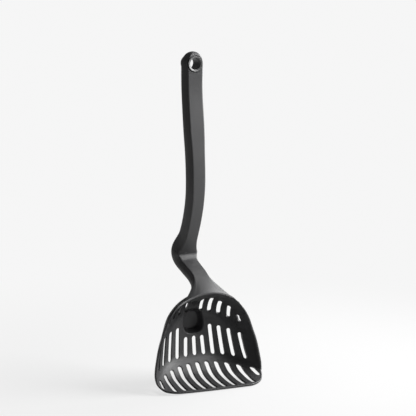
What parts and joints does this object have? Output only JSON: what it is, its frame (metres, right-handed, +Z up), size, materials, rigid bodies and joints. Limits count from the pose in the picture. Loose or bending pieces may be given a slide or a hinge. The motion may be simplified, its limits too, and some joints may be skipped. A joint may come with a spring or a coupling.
{
  "type": "slotted kitchen scoop",
  "caption": "Wide slotted kitchen scoop with a kinked handle, a round hanging eyelet and a hollow rest foot pressed into the back of the bowl.",
  "frame": {"origin": "middle of the hanging hole, on its axis, halfway through the handle", "axes": "+Z up along the handle with the scoop upright on its lip, +Y out of the back of the bowl, the open side faces -Y"},
  "size_m": [0.1088, 0.0761, 0.2974],
  "materials": {
    "head_nylon": "satin black moulded nylon",
    "grip_nylon": "satin black moulded nylon, finely grained",
    "core_grey": "plain grey filled nylon, hidden inside",
    "ring_black": "smooth black plastic with polished chamfers"
  },
  "bodies": {
    "root": {"scoop_head": "head_nylon", "grip_sleeve": "grip_nylon", "handle_core": "core_grey", "eyelet_ring": "ring_black"}
  },
  "joints": []
}
